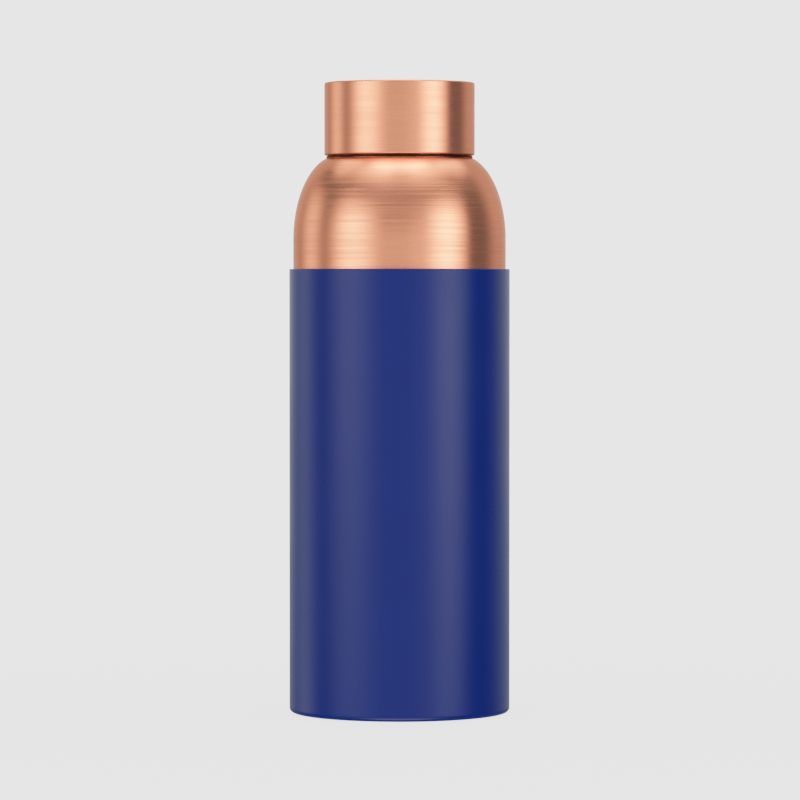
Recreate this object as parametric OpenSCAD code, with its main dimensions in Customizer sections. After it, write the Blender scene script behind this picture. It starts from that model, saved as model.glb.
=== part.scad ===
// Screw-capped copper water bottle in a moulded silicone sleeve.
// Millimetres, +Z up. The origin is the middle of the sleeve's foot, on the surface it stands on.
// The cap's thread is right-handed: turned anticlockwise from above, the cap climbs one lead a turn.

/* [Sleeve] */
// Wall of the silicone sleeve
sleeve_wall = 1.3; // [1:0.1:2.5]
// Height of the sleeve, foot to top edge
sleeve_h = 150.5; // [100:0.5:155]
// Thickness of the sleeve's floor
sleeve_floor = 2.2; // [1.6:0.1:4]
// Radius of the sleeve's rounded foot
foot_round = 1.6; // [0.5:0.1:2]

/* [Copper body] */
// Outer diameter of the copper body
body_d = 72.1; // [70:0.1:80]
// Copper sheet thickness of the body
body_wall = 0.6; // [0.5:0.1:1]
// Height at which the straight body turns into the shoulder
shoulder_z = 160.6; // [160:0.1:168]
// Rise of the shoulder's quarter ellipse
shoulder_rise = 28.4; // [28:0.1:34]
// Inward reach of the shoulder's quarter ellipse
shoulder_reach = 15.2; // [12:0.1:18]
// Height of the flat seat that the neck ring is brazed to
seat_z = 187.9; // [186:0.1:188.1]

/* [Neck] */
// Clear diameter of the mouth
mouth_d = 40; // [36:0.5:41]
// Outer diameter of the neck between its threads
neck_d = 43.2; // [42:0.1:44]
// Height of the neck's rim above the foot
rim_z = 209; // [207:0.1:209.5]
// Diameter of the collar at the foot of the neck
collar_d = 49.6; // [46:0.1:50]
// Height of that collar
collar_h = 0.85; // [0.6:0.05:1]

/* [Thread] */
// Axial travel of the cap in one turn
lead = 5; // [4:0.5:6]
// Depth of a thread rib
rib_depth = 1.3; // [1:0.1:1.4]
// Turns of rib on the neck
neck_turns = 1.75; // [1:0.25:2]
// Turns of rib in the cap
cap_turns = 1.5; // [1:0.25:1.75]

/* [Cap] */
// Outer diameter of the copper cap
cap_d = 51; // [50.6:0.1:56]
// Height of the cap's lower edge above the foot
cap_z = 189.05; // [188.9:0.05:190]
// Height of the cap's top above the foot
cap_top_z = 213.6; // [213.6:0.1:216]
// Copper sheet thickness of the cap
cap_wall = 0.8; // [0.6:0.1:0.9]

/* [Hidden] */
$fn = 96;

// Fits
slip = 0.05;            // sleeve against copper, and the rim against the seal
running = 0.3;          // thread crests and the loose seal against what surrounds them

// Sleeve
body_r = body_d / 2;
sleeve_r_in = body_r + slip;
sleeve_r = sleeve_r_in + sleeve_wall;
recess = 0.8;           // depth of the sunk middle of the foot
foot_r_in = sleeve_r - 8;
vent_r = 3;             // lets air out as the bottle goes in
tread_w = 1.4;          // rings that stand in the recess and grip the table
tread_radii = [10, 16, 22];
edge_round = 0.35;      // top edge of the sleeve and lower edge of the cap

// Copper body
body_z = sleeve_floor + slip;
ellipse_r = body_r - shoulder_reach;    // radius at which the shoulder's ellipse is centred
body_r_in = body_r - body_wall;
neck_r = neck_d / 2;
skirt_h = 4;            // skirt of the base disc, brazed inside the foot of the shell
skirt_round = 1.6;
dome_rise = 3;          // the base disc is dished upwards in the middle
dome_r = body_r_in - body_wall - skirt_round;

// Neck ring
mouth_r = mouth_d / 2;
lip_r = (neck_r - mouth_r) / 2;         // the rim is a full round
spigot_h = 3;                           // stands down through the hole in the seat
rib_root_w = 2.4;
rib_crest_w = 1.2;
neck_rib_z = 194.5;                     // middle of the neck's rib where it starts

// Cap
cap_r = cap_d / 2;
cap_round = 0.55;
liner_r = cap_r - cap_wall;
liner_bore_r = neck_r + rib_depth + running;
liner_z = cap_z + 0.5;
liner_top_z = cap_top_z - cap_wall;
cap_rib_z = neck_rib_z - 1.8;           // just under the neck's rib, which it is drawn up to when tight
seal_z = rim_z + slip;
seal_h = 1.8;
seal_r = liner_bore_r - 0.25;
seal_r_in = 18.6;
disc_h = 0.6;
lip_gap = 0.15;                         // between the loose seal and what keeps it in
bead_h = 0.6;                           // bead of the liner that the seal is snapped over
bead_r_in = seal_r - 0.45;
plate_z = seal_z + seal_h + disc_h + lip_gap;   // underside of the liner's top

// Points of an arc about c, from angle a to angle b, in n steps
function arc(c, r, a, b, n = 6) =
    [for (i = [0:n]) let (t = a + (b - a) * i / n) c + r * [cos(t), sin(t)]];

// Points of the shoulder's ellipse, taken in by the sheet thickness t, from the body up to height top
function shoulder(t, top, n = 28) =
    let (rise = shoulder_rise - t, reach = shoulder_reach - t, last = asin((top - shoulder_z) / rise))
    [for (i = [0:n]) let (a = last * i / n) [ellipse_r + reach * cos(a), shoulder_z + rise * sin(a)]];

function reversed(list) = [for (i = [len(list) - 1:-1:0]) list[i]];

// Points across the base disc's dome, from the middle out, at height z over the web
function dome(z, n = 12) =
    [for (i = [0:n]) let (u = i / n) [dome_r * u, z + dome_rise * (1 - u * u) * (1 - u * u / 2)]];

// Solid of revolution of a closed outline of [radius, height] points
module turned(outline) rotate_extrude() polygon(outline);

// Helical thread rib that climbs one lead a turn. It stands out from radius base to radius crest,
// which is smaller than base on an inside thread, and runs out to nothing at both ends.
module rib(base, crest, z, turns, root_w = rib_root_w, crest_w = rib_crest_w) {
    steps_a_turn = 36;
    fade = 40;          // degrees over which an end runs out
    sink = 0.25;        // how far the rib is let into its wall
    steps = round(turns * steps_a_turn);
    way = sign(crest - base);
    foot = base - way * sink;
    span = 360 * turns;
    function height(a) = min(1, a / fade, (span - a) / fade);
    function section(i) =
        let (a = span * i / steps, h = max(0, height(a)), mid = z + lead * a / 360)
        let (r = foot + way * max(0.02, (sink + rib_depth) * h))
        let (half = (root_w + (crest_w - root_w) * h) / 2)
        [for (p = [[foot, -root_w / 2], [r, -half], [r, half], [foot, root_w / 2]])
            [p[0] * cos(a), p[0] * sin(a), mid + p[1]]];
    points = [for (i = [0:steps]) each section(i)];
    skin = [for (i = [0:steps - 1], k = [0:3]) let (a = 4 * i + k, b = 4 * i + (k + 1) % 4)
        each [[a, b, b + 4], [a, b + 4, a + 4]]];
    end = 4 * steps;
    ends = [[3, 2, 1], [3, 1, 0], [end, end + 1, end + 2], [end, end + 2, end + 3]];
    faces = concat(skin, ends);
    polyhedron(points, way > 0 ? faces : [for (f = faces) reversed(f)]);
}

// Outline of one grip ring of the sleeve's sole, with its middle at radius r
function tread(r) = [for (p = [[-1, recess], [-1, 0], [1, 0], [1, recess]]) [r + p[0] * tread_w / 2, p[1]]];

// Blue silicone boot: it grips the copper by stretch, and its foot is what the bottle stands on
module sleeve() color("#2b3678") turned(concat(
    [[vent_r, recess]],
    [for (r = tread_radii) each tread(r)],
    [[foot_r_in - recess, recess], [foot_r_in, 0]],
    arc([sleeve_r - foot_round, foot_round], foot_round, -90, 0, 8),
    arc([sleeve_r - edge_round, sleeve_h - edge_round], edge_round, 0, 90),
    [[sleeve_r_in, sleeve_h], [sleeve_r_in, sleeve_floor], [vent_r, sleeve_floor]]
));

// Spun copper shell: straight body, elliptical shoulder and the flat seat for the neck
module body_shell() color("#cf9072") turned(concat(
    [[body_r_in, body_z], [body_r, body_z]],
    shoulder(0, seat_z),
    [[neck_r, seat_z], [neck_r, seat_z - body_wall]],
    reversed(shoulder(body_wall, seat_z - body_wall))
));

// Pressed copper base with its skirt down, brazed inside the foot of the shell
module base_disc() color("#cf9072") {
    web_z = body_z + skirt_h;
    inside_r = skirt_round - body_wall;
    turned(concat(
        dome(web_z),
        arc([body_r_in - skirt_round, web_z - skirt_round], skirt_round, 90, 0),
        [[body_r_in, body_z], [body_r_in - body_wall, body_z]],
        arc([body_r_in - skirt_round, web_z - skirt_round], inside_r, 0, 90),
        reversed(dome(web_z - body_wall))
    ));
}

// Turned copper neck with its collar, spigot, rim and outside thread, brazed into the shoulder
module neck_ring() color("#b87a5c") {
    spigot_z = seat_z - spigot_h;
    turned(concat(
        [[mouth_r + 0.6, spigot_z], [neck_r, spigot_z], [neck_r, seat_z], [collar_d / 2, seat_z]],
        [[collar_d / 2, seat_z + collar_h], [neck_r, seat_z + collar_h]],
        arc([neck_r - lip_r, rim_z - lip_r], lip_r, 0, 180, 12),
        [[mouth_r, spigot_z + 0.6]]
    ));
    rib(neck_r, neck_r + rib_depth, neck_rib_z, neck_turns);
}

// Silicone washer that the rim presses on: loose in the liner, so it keeps still as the cap turns
module cap_seal() color("#e8e6df") turned([
    [seal_r_in, seal_z], [seal_r, seal_z], [seal_r, seal_z + seal_h], [seal_r_in, seal_z + seal_h]
]);

// Copper disc over the washer, so that the drink meets only copper
module cap_disc() color("#c98a6a") translate([0, 0, seal_z + seal_h]) cylinder(r = seal_r, h = disc_h);

// Drawn copper cup that is the outside of the cap
module cap_shell() color("#cf9072") turned(concat(
    [[0, cap_top_z]],
    arc([cap_r - cap_round, cap_top_z - cap_round], cap_round, 90, 0),
    arc([cap_r - edge_round, cap_z + edge_round], edge_round, 0, -90),
    [[liner_r, cap_z], [liner_r, liner_top_z], [0, liner_top_z]]
));

// Moulded plastic liner pressed into the cap: inside thread, bead for the seal and top plate
module cap_liner() color("#d9d7d0") {
    bead_z = seal_z - lip_gap - bead_h;
    turned([
        [0, plate_z], [liner_bore_r, plate_z],
        [liner_bore_r, bead_z + bead_h], [bead_r_in, bead_z + bead_h], [bead_r_in, bead_z],
        [liner_bore_r, bead_z - 0.7], [liner_bore_r, liner_z + 0.6], [liner_bore_r + 0.6, liner_z],
        [liner_r, liner_z], [liner_r, liner_top_z], [0, liner_top_z]
    ]);
    rib(liner_bore_r, liner_bore_r - rib_depth, cap_rib_z, cap_turns, root_w = 2, crest_w = 0.9);
}

sleeve();
body_shell();
base_disc();
neck_ring();
cap_seal();
cap_disc();
cap_shell();
cap_liner();
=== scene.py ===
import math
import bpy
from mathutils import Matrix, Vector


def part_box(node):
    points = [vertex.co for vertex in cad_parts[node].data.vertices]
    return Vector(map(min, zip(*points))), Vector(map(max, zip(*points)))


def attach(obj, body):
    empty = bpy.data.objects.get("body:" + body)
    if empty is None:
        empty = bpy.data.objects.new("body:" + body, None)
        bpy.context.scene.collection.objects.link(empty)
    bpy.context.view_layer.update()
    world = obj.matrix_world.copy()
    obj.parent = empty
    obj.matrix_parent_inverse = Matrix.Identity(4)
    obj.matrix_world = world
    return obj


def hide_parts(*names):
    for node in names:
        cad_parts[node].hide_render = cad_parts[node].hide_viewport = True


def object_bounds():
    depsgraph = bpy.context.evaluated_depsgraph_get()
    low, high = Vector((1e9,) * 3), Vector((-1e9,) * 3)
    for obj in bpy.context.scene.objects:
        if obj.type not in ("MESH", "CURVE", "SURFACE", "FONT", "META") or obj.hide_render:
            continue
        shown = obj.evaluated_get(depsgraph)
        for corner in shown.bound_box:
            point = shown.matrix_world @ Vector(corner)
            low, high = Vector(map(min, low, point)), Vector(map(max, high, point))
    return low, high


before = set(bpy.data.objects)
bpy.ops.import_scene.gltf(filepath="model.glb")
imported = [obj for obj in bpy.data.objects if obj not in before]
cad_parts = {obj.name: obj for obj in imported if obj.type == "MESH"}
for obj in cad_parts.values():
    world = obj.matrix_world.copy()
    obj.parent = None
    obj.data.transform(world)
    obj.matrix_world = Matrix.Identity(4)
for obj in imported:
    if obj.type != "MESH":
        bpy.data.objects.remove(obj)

# Screw-capped copper water bottle in a silicone sleeve. Outlines are drawn in millimetres as (radius, height)
# points of the half section and turned about the bottle's axis; the meshes are in metres.

cad_low, cad_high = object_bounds()

MM = 0.001
TINY = 1e-6
FACETS = 288                # round a turned piece
SHARP = math.radians(32)    # an edge with a bigger angle than this stays sharp
CRISP = 0.12                # from a corner to the ring that keeps the flat beside it shading flat, in mm
THREAD_ROW = 0.1            # height of the mesh rows that a thread is raised on, in mm


# ---------------------------------------------------------------- sizes, from the frame

def reach(node):
    """Outer radius, lowest and highest point of a round node, in mm, with the radius kept inside its box."""
    low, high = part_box(node)
    radius = min(high.x, high.y, -low.x, -low.y)
    return math.floor(100 * radius / MM) / 100, round(low.z / MM, 2), round(high.z / MM, 2)


sleeve_r, foot_z, sleeve_top = reach("sleeve")
body_r, body_z, seat_z = reach("body_shell")
collar_r, spigot_z, rim_z = reach("neck_ring")
seal_r, seal_z, seal_top = reach("cap_seal")
disc_r, disc_z, disc_top = reach("cap_disc")
cap_r, cap_z, cap_top = reach("cap_shell")
liner_r, liner_z, liner_top = reach("cap_liner")

gap = 0.05                              # sleeve against copper
sleeve_floor = body_z - gap
sheet = 0.6                             # copper of the body
shoulder_z = seat_z - 27.3              # where the straight body ends
shoulder_reach = 15.2                   # of its quarter ellipse, inwards
shoulder_rise = 28.4                    # of its quarter ellipse, upwards
mouth_r = 20.0
neck_r = 21.6
collar_h = 0.85
bore_r = 23.2                           # liner, between its threads
seal_play = 0.15                        # between the loose seal and what keeps it in
plate_z = disc_top + seal_play          # underside of the liner's top
seal_bore_r = 18.6

# Threads: middle is the height of the rib where it starts, root and crest are its widths, and it runs out
# to nothing over the angle fade at both ends
thread = dict(lead=5.0, depth=1.3, fade=math.radians(40))
neck_thread = dict(thread, middle=194.5, turns=1.75, root=2.4, crest=1.2)
cap_thread = dict(thread, middle=192.7, turns=1.5, root=2.0, crest=0.9)


# ---------------------------------------------------------------- outlines

def arc(centre, radius, start, end, steps=6):
    """Points of an arc, from angle start to angle end in degrees."""
    angles = [math.radians(start + (end - start) * i / steps) for i in range(steps + 1)]
    return [(centre[0] + radius * math.cos(a), centre[1] + radius * math.sin(a)) for a in angles]


def rounded(corners, steps=6):
    """Closed outline through corners (r, z) or (r, z, fillet radius), with its fillets drawn in."""
    points = []
    count = len(corners)
    for i, corner in enumerate(corners):
        here = Vector(corner[:2])
        if len(corner) == 2 or corner[2] == 0:
            points.append(tuple(here))
            continue
        back = (Vector(corners[i - 1][:2]) - here).normalized()
        ahead = (Vector(corners[(i + 1) % count][:2]) - here).normalized()
        half = back.angle(ahead) / 2
        tangent = corner[2] / math.tan(half)
        middle = here + (back + ahead).normalized() * corner[2] / math.sin(half)
        first = here + back * tangent - middle
        last = here + ahead * tangent - middle
        turn = first.angle_signed(last)
        for k in range(steps + 1):
            a = -turn * k / steps
            cosine, sine = math.cos(a), math.sin(a)
            spoke = Vector((first.x * cosine - first.y * sine, first.x * sine + first.y * cosine))
            points.append(tuple(middle + spoke))
    return points


def with_guard_rings(points):
    """Adds a point just inside each end of every long straight stretch, so that fillets shade cleanly."""
    long_enough = 6 * CRISP
    result = []
    for i, point in enumerate(points):
        here, there = Vector(point), Vector(points[(i + 1) % len(points)])
        result.append(point)
        if (there - here).length > long_enough:
            step = (there - here).normalized() * CRISP
            result += [tuple(here + step), tuple(there - step)]
    return result


def with_rows(points, low, high, pitch=THREAD_ROW):
    """Cuts the upright stretches between heights low and high into rows, for a thread to be raised on."""
    result = []
    for i, (r, z) in enumerate(points):
        result.append((r, z))
        r_next, z_next = points[(i + 1) % len(points)]
        if abs(r - r_next) > TINY or abs(z - z_next) < 2 * pitch:
            continue
        lowest, highest = max(low, min(z, z_next)), min(high, max(z, z_next))
        rows = max(0, int((highest - lowest) / pitch) - 1)
        heights = [lowest + (highest - lowest) * (k + 1) / (rows + 1) for k in range(rows)]
        result += [(r, h) for h in (heights if z_next > z else reversed(heights))]
    return result


def shoulder(inset=0.0, steps=40):
    """Quarter ellipse of the shoulder, inside the outer skin by inset, from the body up to the seat."""
    rise, span = shoulder_rise - inset, shoulder_reach - inset
    last = math.asin((seat_z - inset - shoulder_z) / rise)
    angles = [last * i / steps for i in range(steps + 1)]
    return [(body_r - shoulder_reach + span * math.cos(a), shoulder_z + rise * math.sin(a)) for a in angles]


def dome(edge_r, z, rise=3.0, steps=16):
    """Section of the base disc's dished web, from the middle to its edge."""
    shares = [i / steps for i in range(steps + 1)]
    return [(edge_r * u, z + rise * (1 - u * u) * (1 - u * u / 2)) for u in shares]


# ---------------------------------------------------------------- turning

def thread_height(shape, angle, z):
    """Height in mm of a thread's rib over its wall, at that angle and height."""
    span = 2 * math.pi * shape["turns"]
    best = 0.0
    for turn in range(int(shape["turns"]) + 1):
        a = angle + 2 * math.pi * turn
        if a > span:
            continue
        away = abs(z - shape["middle"] - shape["lead"] * a / (2 * math.pi))
        share = (shape["root"] / 2 - away) / ((shape["root"] - shape["crest"]) / 2)
        share = min(1.0, max(0.0, share))
        ends = min(1.0, a / shape["fade"], (span - a) / shape["fade"])
        smooth = share * share * (3 - 2 * share)
        best = max(best, shape["depth"] * smooth * ends * (2 - ends))
    return best


def turned(name, points, shape=None, wall_r=None, outward=1):
    """Solid of revolution of a closed outline. shape raises a thread on the wall of radius wall_r."""
    verts, faces, rings = [], [], []
    for r, z in points:
        if r < TINY:
            rings.append([len(verts)] * FACETS)
            verts.append((0.0, 0.0, z * MM))
            continue
        rings.append(list(range(len(verts), len(verts) + FACETS)))
        for k in range(FACETS):
            a = 2 * math.pi * k / FACETS
            swell = 0.0
            if shape and abs(r - wall_r) < TINY:
                swell = outward * thread_height(shape, a, z)
            verts.append(((r + swell) * MM * math.cos(a), (r + swell) * MM * math.sin(a), z * MM))
    for i, low in enumerate(rings):
        high = rings[(i + 1) % len(rings)]
        for k in range(FACETS):
            n = (k + 1) % FACETS
            face = []
            for v in (low[k], low[n], high[n], high[k]):
                if v not in face:
                    face.append(v)
            if len(face) > 2:
                faces.append(face)
    mesh = bpy.data.meshes.new(name)
    mesh.from_pydata(verts, [], faces)
    area = sum(a[0] * b[1] - b[0] * a[1] for a, b in zip(points, points[1:] + points[:1]))
    if area < 0:            # the outline was drawn clockwise
        mesh.flip_normals()
    for face in mesh.polygons:
        face.use_smooth = True
    mesh.set_sharp_from_angle(angle=SHARP)
    mesh.update()
    piece = bpy.data.objects.new(name, mesh)
    bpy.context.collection.objects.link(piece)
    return piece


def fit(piece, body, node, material):
    """Puts a piece on its body in place of its CAD node, with its finish."""
    piece.data.materials.append(material)
    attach(piece, body)
    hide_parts(node)


# ---------------------------------------------------------------- node helpers

class Bench:
    """Short ways to add and join the nodes of one tree."""

    def __init__(self, tree):
        self.tree = tree

    def node(self, kind, inputs=None, **settings):
        made = self.tree.nodes.new("ShaderNode" + kind)
        for key, value in settings.items():
            setattr(made, key, value)
        for key, value in (inputs or {}).items():
            self.feed(made.inputs[key], value)
        return made

    def feed(self, socket, value):
        if isinstance(value, bpy.types.NodeSocket):
            self.tree.links.new(value, socket)
        else:
            socket.default_value = value

    def maths(self, operation, *values, clamp=False):
        return self.node("Math", dict(enumerate(values)), operation=operation, use_clamp=clamp).outputs[0]

    def spread(self, value, low, high, to_low=0.0, to_high=1.0, smooth=False):
        made = self.node("MapRange", interpolation_type="SMOOTHSTEP" if smooth else "LINEAR")
        for socket, number in zip(made.inputs, (value, low, high, to_low, to_high)):
            self.feed(socket, number)
        return made.outputs[0]

    def blend(self, share, first, second):
        made = self.node("Mix", data_type="RGBA")
        self.feed(made.inputs[0], share)
        self.feed(made.inputs[6], first)
        self.feed(made.inputs[7], second)
        return made.outputs[2]

    def noise(self, vector, scale, detail=2.0, roughness=0.5):
        inputs = {"Vector": vector, "Scale": scale, "Detail": detail, "Roughness": roughness}
        return self.node("TexNoise", inputs).outputs["Fac"]

    def place(self, group, **values):
        made = self.node("Group", node_tree=group)
        for key, value in values.items():
            self.feed(made.inputs[key.replace("_", " ").capitalize()], value)
        return made


def effect(name, inputs, outputs):
    """New node group with named sockets. Returns its bench, and the sockets that give and take its values."""
    group = bpy.data.node_groups.new(name, "ShaderNodeTree")
    for socket_name, kind, default in inputs:
        socket = group.interface.new_socket(name=socket_name, in_out="INPUT", socket_type="NodeSocket" + kind)
        socket.default_value = default
    for socket_name, kind in outputs:
        group.interface.new_socket(name=socket_name, in_out="OUTPUT", socket_type="NodeSocket" + kind)
    bench = Bench(group)
    source = group.nodes.new("NodeGroupInput")
    sink = group.nodes.new("NodeGroupOutput")
    return bench, source.outputs, sink.inputs


# ---------------------------------------------------------------- shared effects

def make_turning_lines():
    """Marks that a brush held to a spinning piece leaves, as values from 0 to 1: long fine lines round the
    axis, broader bands of them, and scattered groups of dark streaks."""
    bench, given, result = effect(
        "turning_lines",
        [("Seed", "Float", 0.0), ("Lines per mm", "Float", 1.4)],
        [("Lines", "Float"), ("Bands", "Float"), ("Streaks", "Float")],
    )
    place = bench.node("TexCoord").outputs["Object"]
    split = bench.node("SeparateXYZ", {"Vector": place}).outputs
    radius = bench.maths("SQRT", bench.maths("ADD", bench.maths("MULTIPLY", split[0], split[0]),
                                             bench.maths("MULTIPLY", split[1], split[1])))
    safe = bench.maths("MAXIMUM", radius, 1e-5)
    across = bench.maths("MULTIPLY", bench.maths("SUBTRACT", split[2], radius), 1000.0)

    def lay(turn, pitch, shift, detail=2.0, roughness=0.5):
        """Noise stretched round the axis: turn sets how often it changes on the way round, pitch how often
        across, and shift keeps one use of it apart from the next."""
        around_x = bench.maths("MULTIPLY", bench.maths("DIVIDE", split[0], safe), turn)
        around_y = bench.maths("MULTIPLY", bench.maths("DIVIDE", split[1], safe), turn)
        rise = bench.maths("MULTIPLY", across, pitch)
        rise = bench.maths("ADD", rise, bench.maths("ADD", given["Seed"], shift))
        path = bench.node("CombineXYZ", {0: around_x, 1: around_y, 2: rise}).outputs[0]
        return bench.noise(path, 1.0, detail, roughness)

    pitch = given["Lines per mm"]
    broad_pitch = bench.maths("MULTIPLY", pitch, 0.25)
    thin_pitch = bench.maths("MULTIPLY", pitch, 1.3)
    fine = bench.spread(lay(turn=0.45, pitch=pitch, shift=0.0, roughness=0.7), 0.28, 0.72)
    strength = bench.spread(lay(turn=3.0, pitch=0.5, shift=160.0), 0.3, 0.7, 0.35, 1.0)
    level = bench.maths("MULTIPLY", bench.maths("SUBTRACT", fine, 0.5), strength)
    broad = lay(turn=0.6, pitch=broad_pitch, shift=40.0)
    group = bench.spread(lay(turn=2.4, pitch=0.09, shift=80.0, detail=1.0), 0.48, 0.68, smooth=True)
    thin = bench.spread(lay(turn=0.5, pitch=thin_pitch, shift=120.0, detail=1.0), 0.5, 0.7, smooth=True)
    bench.feed(result["Lines"], bench.maths("ADD", level, 0.5))
    bench.feed(result["Bands"], bench.spread(broad, 0.32, 0.68))
    bench.feed(result["Streaks"], bench.maths("MULTIPLY", group, thin))
    return bench.tree


def make_fine_grain():
    """Even grain of a moulded surface, as a normal and a value from 0 to 1, and the cloud of its colour."""
    grains_to_a_cloud = 60.0
    bump_height = 0.00005
    bench, given, result = effect(
        "fine_grain",
        [("Size in mm", "Float", 0.3), ("Depth", "Float", 0.1)],
        [("Grain", "Float"), ("Cloud", "Float"), ("Normal", "Vector")],
    )
    place = bench.node("TexCoord").outputs["Object"]
    scale = bench.maths("DIVIDE", 1000.0, given["Size in mm"])
    grain = bench.noise(place, scale, 2.0, 0.55)
    cloud = bench.noise(place, bench.maths("DIVIDE", scale, grains_to_a_cloud), 3.0, 0.5)
    bump = bench.node("Bump", {"Strength": given["Depth"], "Distance": bump_height, "Height": grain})
    bench.feed(result["Grain"], bench.spread(grain, 0.3, 0.7))
    bench.feed(result["Cloud"], bench.spread(cloud, 0.3, 0.7))
    bench.feed(result["Normal"], bump.outputs[0])
    return bench.tree


def make_edge_wear():
    """Where outer corners are rubbed: 1 on the crown of a fillet, broken up by noise."""
    bench, given, result = effect(
        "edge_wear",
        [("Start", "Float", 0.52), ("Full", "Float", 0.6), ("Breakup", "Float", 0.4)],
        [("Wear", "Float")],
    )
    pointed = bench.node("NewGeometry").outputs["Pointiness"]
    place = bench.node("TexCoord").outputs["Object"]
    rub_scale = 260.0
    rub = bench.spread(bench.noise(place, rub_scale, 3.0), 0.35, 0.65)
    crown = bench.spread(pointed, given["Start"], given["Full"], smooth=True)
    kept = bench.maths("SUBTRACT", 1.0, bench.maths("MULTIPLY", rub, given["Breakup"]))
    bench.feed(result["Wear"], bench.maths("MULTIPLY", crown, kept, clamp=True))
    return bench.tree


def make_handling():
    """Soft marks of hands and cloths: slow patches with ragged edges."""
    bench, given, result = effect(
        "handling",
        [("Scale", "Float", 22.0), ("Seed", "Float", 0.0)],
        [("Smudge", "Float")],
    )
    place = bench.node("TexCoord").outputs["Object"]
    shift = bench.node("CombineXYZ", {0: given["Seed"]}).outputs[0]
    moved = bench.node("VectorMath", {0: place, 1: shift}, operation="ADD").outputs[0]
    slow = bench.noise(moved, given["Scale"], 4.0, 0.6)
    bench.feed(result["Smudge"], bench.spread(slow, 0.35, 0.7, smooth=True))
    return bench.tree


def make_groove_painted_shade():
    """Painted shade: a near-black band in the recess under the cap, between two heights in mm, where the
    copper lies only in shadow.
    """
    ragged = 0.12           # mm by which its edge wanders
    fade = 0.1              # mm over which it thins out
    bench, given, result = effect(
        "groove_painted_shade",
        [("Bottom in mm", "Float", 0.0), ("Top in mm", "Float", 1.0)],
        [("Painted shade", "Float")],
    )
    place = bench.node("TexCoord").outputs["Object"]
    height = bench.maths("MULTIPLY", bench.node("SeparateXYZ", {"Vector": place}).outputs[2], 1000.0)
    nearest = bench.maths("MINIMUM", bench.maths("SUBTRACT", given["Top in mm"], height),
                          bench.maths("SUBTRACT", height, given["Bottom in mm"]))
    uneven = bench.maths("MULTIPLY", bench.noise(place, 900.0, 2.0), ragged)
    bench.feed(result["Painted shade"], bench.spread(bench.maths("ADD", nearest, uneven), 0.0, fade, smooth=True))
    return bench.tree


turning_lines = make_turning_lines()
groove_painted_shade = make_groove_painted_shade()
fine_grain = make_fine_grain()
edge_wear = make_edge_wear()
handling = make_handling()


# ---------------------------------------------------------------- materials

def material(name):
    """New material. Returns it, its bench and its Principled shader."""
    made = bpy.data.materials.new(name)
    made.use_nodes = True
    return made, Bench(made.node_tree), made.node_tree.nodes["Principled BSDF"]


def copper(name, clean, dark, roughness, seed, lines_per_mm, line_depth=0.3, tarnish=0.3, line_rough=0.0,
           groove=None):
    """Bare copper brushed while it spins. clean and dark are its colour and that of its tarnished lines.
    tarnish and line_rough say how much darker and rougher the lines are, and line_depth how deep.
    Between the two heights of groove, in mm, it is painted nearly black as shade in the recess under the cap."""
    streaks_over_lines = 1.6
    brighter, worn_share, worn_smoother = 1.08, 0.6, 0.05
    band_rough, smudge_rough, black_rough = 0.03, 0.03, 0.25
    line_relief, band_relief, relief_height = 0.7, 0.3, 0.00002
    edge_tint = (1.0, 0.76, 0.64, 1.0)

    made, bench, shader = material(name)
    marks = bench.place(turning_lines, seed=seed, lines_per_mm=lines_per_mm)
    lines, bands, streaks = marks.outputs["Lines"], marks.outputs["Bands"], marks.outputs["Streaks"]
    smudge = bench.place(handling, seed=seed).outputs["Smudge"]
    wear = bench.place(edge_wear).outputs["Wear"]

    streak_stain = bench.maths("MULTIPLY", streaks, streaks_over_lines * tarnish)
    stain = bench.maths("ADD", bench.maths("MULTIPLY", lines, tarnish), streak_stain)
    colour = bench.blend(bench.maths("MINIMUM", stain, 1.0), clean, dark)
    bright = [min(1.0, c * brighter) for c in clean[:3]] + [1.0]
    colour = bench.blend(bench.maths("MULTIPLY", wear, worn_share), colour, bright)

    rough = bench.maths("ADD", bench.spread(bands, 0.0, 1.0, -band_rough, band_rough), roughness)
    rough = bench.maths("ADD", rough, bench.spread(lines, 0.2, 0.8, -line_rough, line_rough))
    rough = bench.maths("ADD", rough, bench.maths("MULTIPLY", smudge, smudge_rough))
    rough = bench.maths("SUBTRACT", rough, bench.maths("MULTIPLY", wear, worn_smoother))

    # painted shade: the groove under the cap is coloured near-black, standing in for the shadow it lies in
    if groove:
        painted_shade = bench.place(groove_painted_shade, bottom_in_mm=groove[0], top_in_mm=groove[1]).outputs["Painted shade"]
        colour = bench.blend(painted_shade, colour, COPPER_PAINTED_SHADE)
        rough = bench.maths("ADD", rough, bench.maths("MULTIPLY", painted_shade, black_rough))
    bench.feed(shader.inputs["Base Color"], colour)
    bench.feed(shader.inputs["Roughness"], rough)

    relief = bench.maths("ADD", bench.maths("MULTIPLY", lines, line_relief),
                         bench.maths("MULTIPLY", bands, band_relief))
    bump = bench.node("Bump", {"Strength": line_depth, "Distance": relief_height, "Height": relief})
    bench.feed(shader.inputs["Normal"], bump.outputs[0])
    shader.inputs["Metallic"].default_value = 1.0
    shader.inputs["Specular Tint"].default_value = edge_tint

    # The lines run round the axis, so highlights are drawn out along it
    shader.inputs["Anisotropic"].default_value = 0.8
    shader.inputs["Anisotropic Rotation"].default_value = 0.25
    bench.feed(shader.inputs["Tangent"], bench.node("Tangent", direction_type="RADIAL", axis="Z").outputs[0])
    return made


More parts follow.
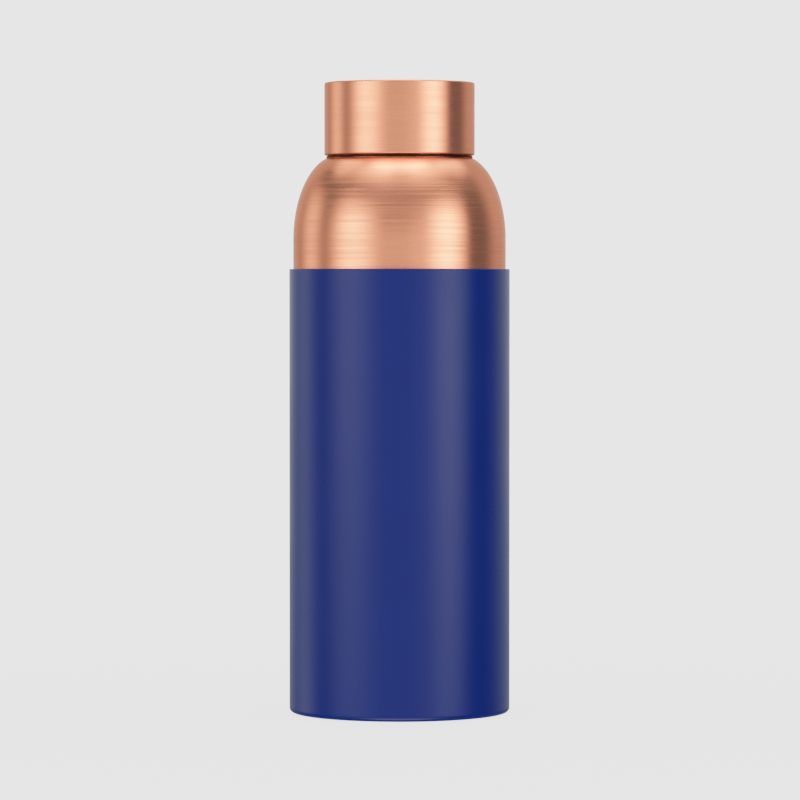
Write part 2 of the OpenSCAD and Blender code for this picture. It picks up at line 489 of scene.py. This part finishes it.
def moulded(name, colour, shade, roughness, grain_mm, depth, specular=0.5, subsurface=0.0):
    """Moulded silicone or plastic: even colour that drifts towards shade, with a fine grain."""
    cloud_share, grain_share, worn_share = 0.5, 0.3, 0.5
    grain_rough = 0.03
    made, bench, shader = material(name)
    grain = bench.place(fine_grain, size_in_mm=grain_mm, depth=depth)
    smudge = bench.place(handling, scale=16.0, seed=3.0).outputs["Smudge"]
    wear = bench.place(edge_wear).outputs["Wear"]

    drift = bench.maths("ADD", bench.maths("MULTIPLY", grain.outputs["Cloud"], cloud_share),
                        bench.maths("MULTIPLY", grain.outputs["Grain"], grain_share))
    tone = bench.blend(drift, colour, shade)
    rubbed = [min(1.0, c * 1.25 + 0.01) for c in colour[:3]] + [1.0]
    worn = bench.blend(bench.maths("MULTIPLY", wear, worn_share), tone, rubbed)
    bench.feed(shader.inputs["Base Color"], worn)

    rough = bench.maths("ADD", bench.spread(smudge, 0.0, 1.0, -0.02, 0.04), roughness)
    rough = bench.maths("ADD", rough, bench.maths("MULTIPLY", grain.outputs["Grain"], grain_rough))
    bench.feed(shader.inputs["Roughness"], rough)
    bench.feed(shader.inputs["Normal"], grain.outputs["Normal"])
    shader.inputs["Specular IOR Level"].default_value = specular
    shader.inputs["Subsurface Weight"].default_value = subsurface
    shader.inputs["Subsurface Scale"].default_value = 0.002
    return made


COPPER = (0.95, 0.313, 0.183, 1.0)
COPPER_TARNISHED = (0.68, 0.230, 0.125, 1.0)
# painted shade: near-black copper coloured in for the shadowed recess under the cap
COPPER_PAINTED_SHADE = (0.07, 0.018, 0.007, 1.0)
COPPER_TURNED = (0.90, 0.30, 0.165, 1.0)
BLUE = (0.0005, 0.0096, 0.112, 1.0)
BLUE_SHADE = (0.0004, 0.0089, 0.105, 1.0)
IVORY = (0.72, 0.70, 0.64, 1.0)
IVORY_SHADE = (0.66, 0.64, 0.58, 1.0)
MILKY = (0.78, 0.78, 0.74, 1.0)
MILKY_SHADE = (0.72, 0.72, 0.68, 1.0)

spun_copper = copper("spun_copper", COPPER, COPPER_TARNISHED, 0.25, seed=11.0, lines_per_mm=1.6,
                     line_depth=0.05, tarnish=0.05, line_rough=0.065)
cap_copper = copper("cap_copper", COPPER, COPPER_TARNISHED, 0.25, seed=57.0, lines_per_mm=2.4,
                    line_depth=0.1, tarnish=0.06, line_rough=0.01)
# its groove band under the cap is painted shade
turned_copper = copper("turned_copper", COPPER_TURNED, COPPER_TARNISHED, 0.32, seed=91.0, lines_per_mm=4.0,
                       groove=(seat_z + 0.08, seat_z + collar_h + 0.1))
sleeve_silicone = moulded("sleeve_silicone", BLUE, BLUE_SHADE, 0.23, grain_mm=0.25, depth=0.12, specular=0.22)
liner_plastic = moulded("liner_plastic", IVORY, IVORY_SHADE, 0.38, grain_mm=0.4, depth=0.06, subsurface=0.1)
seal_silicone = moulded("seal_silicone", MILKY, MILKY_SHADE, 0.5, grain_mm=0.2, depth=0.1, subsurface=0.2)


# ---------------------------------------------------------------- pieces

def make_sleeve():
    """Silicone boot: straight wall, rounded foot, and a sunk sole with three grip rings and an air hole."""
    recess, tread_w, lip = 0.8, 1.4, 0.25
    tread_radii = (10.0, 16.0, 22.0)
    foot_round, edge_round = 1.6, 0.35
    inner_r, foot_in, hole_r = body_r + gap, sleeve_r - 8, 3.0
    corners = [(hole_r, foot_z + recess, lip)]
    for r in tread_radii:
        corners += [(r - tread_w / 2, foot_z + recess, lip), (r - tread_w / 2, foot_z, lip)]
        corners += [(r + tread_w / 2, foot_z, lip), (r + tread_w / 2, foot_z + recess, lip)]
    corners += [(foot_in - recess, foot_z + recess, lip), (foot_in, foot_z, lip)]
    corners += [(sleeve_r, foot_z, foot_round), (sleeve_r, sleeve_top, edge_round)]
    corners += [(inner_r, sleeve_top, 0.2), (inner_r, sleeve_floor, 0.5), (hole_r, sleeve_floor, lip)]
    piece = turned("sleeve_boot", with_guard_rings(rounded(corners)))
    fit(piece, "sleeve", "sleeve", sleeve_silicone)


def make_body_shell():
    """Spun copper: straight body, domed shoulder, flat seat with the hole for the neck."""
    outside = shoulder()
    inside = shoulder(sheet)
    corners = [(body_r - sheet, body_z), (body_r, body_z, 0.15)] + outside[:-1]
    corners += [outside[-1] + (0.2,), (neck_r, seat_z), (neck_r, seat_z - sheet)] + inside[::-1]
    piece = turned("body_shell_spun", with_guard_rings(rounded(corners)))
    fit(piece, "bottle", "body_shell", spun_copper)


def make_base_disc():
    """Dished copper base with its skirt down, inside the foot of the shell."""
    skirt_h, bend = 4.0, 1.6
    outer_r, web_z = body_r - sheet, body_z + skirt_h
    web_r = outer_r - bend
    points = dome(web_r, web_z)
    points += arc((web_r, web_z - bend), bend, 90, 0)[1:]
    points += [(outer_r, body_z), (outer_r - sheet, body_z)]
    points += arc((web_r, web_z - bend), bend - sheet, 0, 90)
    points += dome(web_r, web_z - sheet)[::-1][1:]
    piece = turned("base_disc_pressed", with_guard_rings(points))
    fit(piece, "bottle", "base_disc", spun_copper)


def make_neck_ring():
    """Turned copper neck: spigot, collar, thread and full-round rim."""
    lip_r = (neck_r - mouth_r) / 2
    thread_low, thread_high = 193.2, 204.6
    corners = [(mouth_r, spigot_z, 0.3), (neck_r, spigot_z, 0.15), (neck_r, seat_z), (collar_r, seat_z)]
    corners += [(collar_r, seat_z + collar_h, 0.15), (neck_r, seat_z + collar_h, 0.25)]
    corners += arc((neck_r - lip_r, rim_z - lip_r), lip_r, 0, 180, 12)
    points = with_rows(with_guard_rings(rounded(corners)), thread_low, thread_high)
    piece = turned("neck_ring_threaded", points, neck_thread, neck_r)
    fit(piece, "bottle", "neck_ring", turned_copper)


def make_cap_shell():
    """Drawn copper cup: straight wall, small crisp edges."""
    corners = [(0, cap_top), (cap_r, cap_top, 0.55), (cap_r, cap_z, 0.4), (liner_r, cap_z, 0.1)]
    corners += [(liner_r, liner_top, 0.3), (0, liner_top)]
    piece = turned("cap_shell_drawn", with_guard_rings(rounded(corners)))
    fit(piece, "cap", "cap_shell", cap_copper)


def make_cap_liner():
    """Moulded liner: bead that the seal snaps over, and top plate. Known fault: its inside thread is asked
    for but not raised, as the fillet over the bore ends 0.000006 mm off bore_r, which is more than TINY."""
    bead_r, bead_h, ramp_h, chamfer = seal_r - 0.45, 0.6, 0.7, 0.6
    bead_z = seal_z - bead_h - seal_play
    bead_top = bead_z + bead_h
    thread_low, thread_high = 191.2, 201.6
    corners = [(0, plate_z), (bore_r, plate_z, 0.1), (bore_r, bead_top, 0.05), (bead_r, bead_top, 0.2)]
    corners += [(bead_r, bead_z, 0.2), (bore_r, bead_z - ramp_h, 0.3)]
    corners += [(bore_r, liner_z + chamfer), (bore_r + chamfer, liner_z)]
    corners += [(liner_r, liner_z), (liner_r, liner_top, 0.3), (0, liner_top)]
    points = with_rows(with_guard_rings(rounded(corners)), thread_low, thread_high)
    piece = turned("cap_liner_moulded", points, cap_thread, bore_r, outward=-1)
    fit(piece, "cap", "cap_liner", liner_plastic)


def make_cap_disc():
    """Copper disc over the seal."""
    corners = [(0, disc_z), (disc_r, disc_z, 0.15), (disc_r, disc_top, 0.15), (0, disc_top)]
    piece = turned("cap_disc_copper", with_guard_rings(rounded(corners)))
    fit(piece, "seal", "cap_disc", turned_copper)


def make_cap_seal():
    """Silicone washer under the disc."""
    corners = [(seal_bore_r, seal_z, 0.3), (seal_r, seal_z, 0.3)]
    corners += [(seal_r, seal_top, 0.15), (seal_bore_r, seal_top, 0.15)]
    piece = turned("cap_seal_washer", with_guard_rings(rounded(corners)))
    fit(piece, "seal", "cap_seal", seal_silicone)


for make in (make_sleeve, make_body_shell, make_base_disc, make_neck_ring,
             make_cap_shell, make_cap_liner, make_cap_disc, make_cap_seal):
    make()


# ---------------------------------------------------------------- studio

RESPONSE = 5.0                  # film response: 1 - exp(-RESPONSE x), so highlights roll off softly
PAPER = 0.313                   # brightness of the seamless backdrop
SHADE = 0.14                    # share of the floor near the bottle that takes real shadow

# Soft boxes as seen from the bottle. Azimuth 0 is the camera's side, positive to its right; degrees.
# (name, azimuth, half width, soft edge, low, high, soft top, soft bottom, brightness)
SOFT_BOXES = [
    ("left_key", -48, 2, 31, 0, 14, 14, 6, 0.60),
    ("left_edge", -61, 0, 36, 0, 14, 14, 6, 0.32),
    ("right_key", 55, 0, 32, 0, 14, 14, 8, 1.05),
    ("right_fill", 37, 8, 27, 0, 14, 14, 8, 0.11),
    ("front", 5, 23, 28, 0, 20, 20, 3, 0.10),
    ("left_rear", -112, 0, 28, -6, 14, 14, 14, 0.31),
    ("rear", 172, 40, 30, 0, 42, 14, 10, 0.12),
    ("upper_left", -55, 20, 30, 62, 72, 14, 14, 0.28),
    ("upper_right", 70, 25, 40, 62, 72, 14, 14, 0.30),
    ("upper_ring", 0, 180, 1, 56, 66, 14, 20, 0.19),
    ("high_rear_left", -135, 20, 30, 47, 58, 12, 12, 0.26),
    ("high_rear_right", 135, 20, 30, 47, 58, 12, 12, 0.26),
    ("overhead", 0, 180, 1, 78, 90, 14, 14, 0.93),
    ("bounce", -10, 50, 40, -32, 0, 4, 14, 0.19),
    ("floor_glow", 0, 22, 44, -66, -42, 8, 12, 1.1),
]
AMBIENT = (0.043, 0.054, 0.058)  # the dim room between the soft boxes, a little cool


def make_soft_box():
    """Brightness of one soft box in a direction: full inside it, falling off smoothly past its edges."""
    bench, given, result = effect(
        "soft_box",
        [("Azimuth", "Float", 0.0), ("Half width", "Float", 10.0), ("Soft edge", "Float", 10.0),
         ("Low", "Float", 0.0), ("High", "Float", 30.0), ("Soft top", "Float", 14.0),
         ("Soft bottom", "Float", 14.0), ("Brightness", "Float", 1.0)],
        [("Light", "Float")],
    )
    way = bench.node("TexCoord").outputs["Generated"]
    split = bench.node("SeparateXYZ", {"Vector": way}).outputs
    forward = bench.maths("MULTIPLY", split[1], -1.0)
    azimuth = bench.maths("DEGREES", bench.maths("ARCTAN2", split[0], forward))
    rise = bench.maths("DEGREES", bench.maths("ARCSINE", split[2]))
    turn = bench.maths("WRAP", bench.maths("SUBTRACT", azimuth, given["Azimuth"]), 180.0, -180.0)
    off = bench.maths("ABSOLUTE", turn)
    outer = bench.maths("ADD", given["Half width"], given["Soft edge"])
    above = bench.maths("ADD", given["High"], given["Soft top"])
    below = bench.maths("SUBTRACT", given["Low"], given["Soft bottom"])
    side = bench.spread(off, given["Half width"], outer, 1.0, 0.0, smooth=True)
    top = bench.spread(rise, given["High"], above, 1.0, 0.0, smooth=True)
    bottom = bench.spread(rise, below, given["Low"], 0.0, 1.0, smooth=True)
    level = bench.maths("MULTIPLY", bench.maths("MULTIPLY", side, top), bottom)
    bench.feed(result["Light"], bench.maths("MULTIPLY", level, given["Brightness"]))
    return bench.tree


def make_world():
    """All the light there is: the soft boxes and a dim room. Looked at directly, it is the plain backdrop."""
    world = bpy.data.worlds.new("studio")
    bpy.context.scene.world = world
    world.use_nodes = True
    world.node_tree.nodes.clear()
    bench = Bench(world.node_tree)
    soft_box = make_soft_box()
    total = 0.0
    for name, azimuth, half_width, soft_edge, low, high, soft_top, soft_bottom, brightness in SOFT_BOXES:
        box = bench.place(soft_box, azimuth=azimuth, half_width=half_width, soft_edge=soft_edge, low=low,
                          high=high, soft_top=soft_top, soft_bottom=soft_bottom, brightness=brightness)
        box.name = box.label = name
        total = bench.maths("ADD", total, box.outputs[0])
    dim = bench.node("Background", {"Color": AMBIENT + (1.0,), "Strength": 1.0})
    lit = bench.node("Background", {"Color": total, "Strength": 1.0})
    room = bench.node("AddShader", {0: dim.outputs[0], 1: lit.outputs[0]})
    paper = bench.node("Background", {"Color": (PAPER, PAPER, PAPER, 1.0), "Strength": 1.0})
    seen = bench.node("LightPath").outputs["Is Camera Ray"]
    shown = bench.node("MixShader", {0: seen, 1: room.outputs[0], 2: paper.outputs[0]})
    bench.tree.links.new(shown.outputs[0], bench.node("OutputWorld").inputs["Surface"])


def make_floor():
    """Pale seamless floor, unseen from below. Near the bottle a share of it takes real shadow, which fades
    out with distance. It hides nothing from the world's light."""
    reach_out, drop = 12.0, 0.02 * MM
    shadow_full, shadow_none = 0.1, 0.45
    corners = [(-reach_out, -reach_out, 0), (reach_out, -reach_out, 0),
               (reach_out, reach_out, 0), (-reach_out, reach_out, 0)]
    mesh = bpy.data.meshes.new("floor")
    mesh.from_pydata(corners, [], [(0, 1, 2, 3)])
    floor = bpy.data.objects.new("floor", mesh)
    floor.location.z = cad_low.z - drop
    bpy.context.collection.objects.link(floor)
    paper = bpy.data.materials.new("paper_floor")
    paper.use_nodes = True
    paper.node_tree.nodes.clear()
    bench = Bench(paper.node_tree)
    place = bench.node("TexCoord").outputs["Object"]
    away = bench.node("VectorMath", {0: place}, operation="LENGTH").outputs["Value"]
    near = bench.spread(away, shadow_full, shadow_none, SHADE, 0.0, smooth=True)
    plain = bench.node("Emission", {"Color": (PAPER, PAPER, PAPER, 1.0)})
    lit = bench.node("BsdfDiffuse", {"Color": (0.8, 0.8, 0.8, 1.0)})
    shown = bench.node("MixShader", {0: near, 1: plain.outputs[0], 2: lit.outputs[0]})
    underside = bench.node("NewGeometry").outputs["Backfacing"]
    seen = bench.maths("SUBTRACT", bench.node("LightPath").outputs["Is Camera Ray"], underside, clamp=True)
    clear = bench.node("BsdfTransparent").outputs[0]
    either = bench.node("MixShader", {0: seen, 1: clear, 2: shown.outputs[0]})
    bench.tree.links.new(either.outputs[0], bench.node("OutputMaterial").inputs["Surface"])
    mesh.materials.append(paper)


def make_camera():
    """Long lens from far enough off that verticals look upright, a little below the height of the sleeve's
    top edge and tipped down slightly."""
    distance, height, sideways = 1.4795, 0.1466, 0.00016    # in metres
    pitch = 1.5716                                          # in degrees
    data = bpy.data.cameras.new("camera")
    data.lens = 196.0
    data.sensor_width = 36.0
    camera = bpy.data.objects.new("camera", data)
    camera.location = (sideways, -distance, height)
    camera.rotation_euler = (math.radians(90 - pitch), 0.0, 0.0)
    bpy.context.collection.objects.link(camera)
    bpy.context.scene.camera = camera


def set_response():
    """Film response as a curve over the standard view. The curve takes only values up to 1, so every light
    is set at 1 / RESPONSE of its strength and the curve makes up for it."""
    exposures = (0.25, 0.5, 1.0, 1.5, 2.0, 3.0, 4.0)
    view = bpy.context.scene.view_settings
    view.view_transform = "Standard"
    view.use_curve_mapping = True
    combined = 3
    curve = view.curve_mapping.curves[combined]
    curve.points[-1].location = (1.0, 1 - math.exp(-RESPONSE))
    for exposure in exposures:
        curve.points.new(exposure / RESPONSE, 1 - math.exp(-exposure))
    view.curve_mapping.update()


make_world()
make_floor()
make_camera()
set_response()
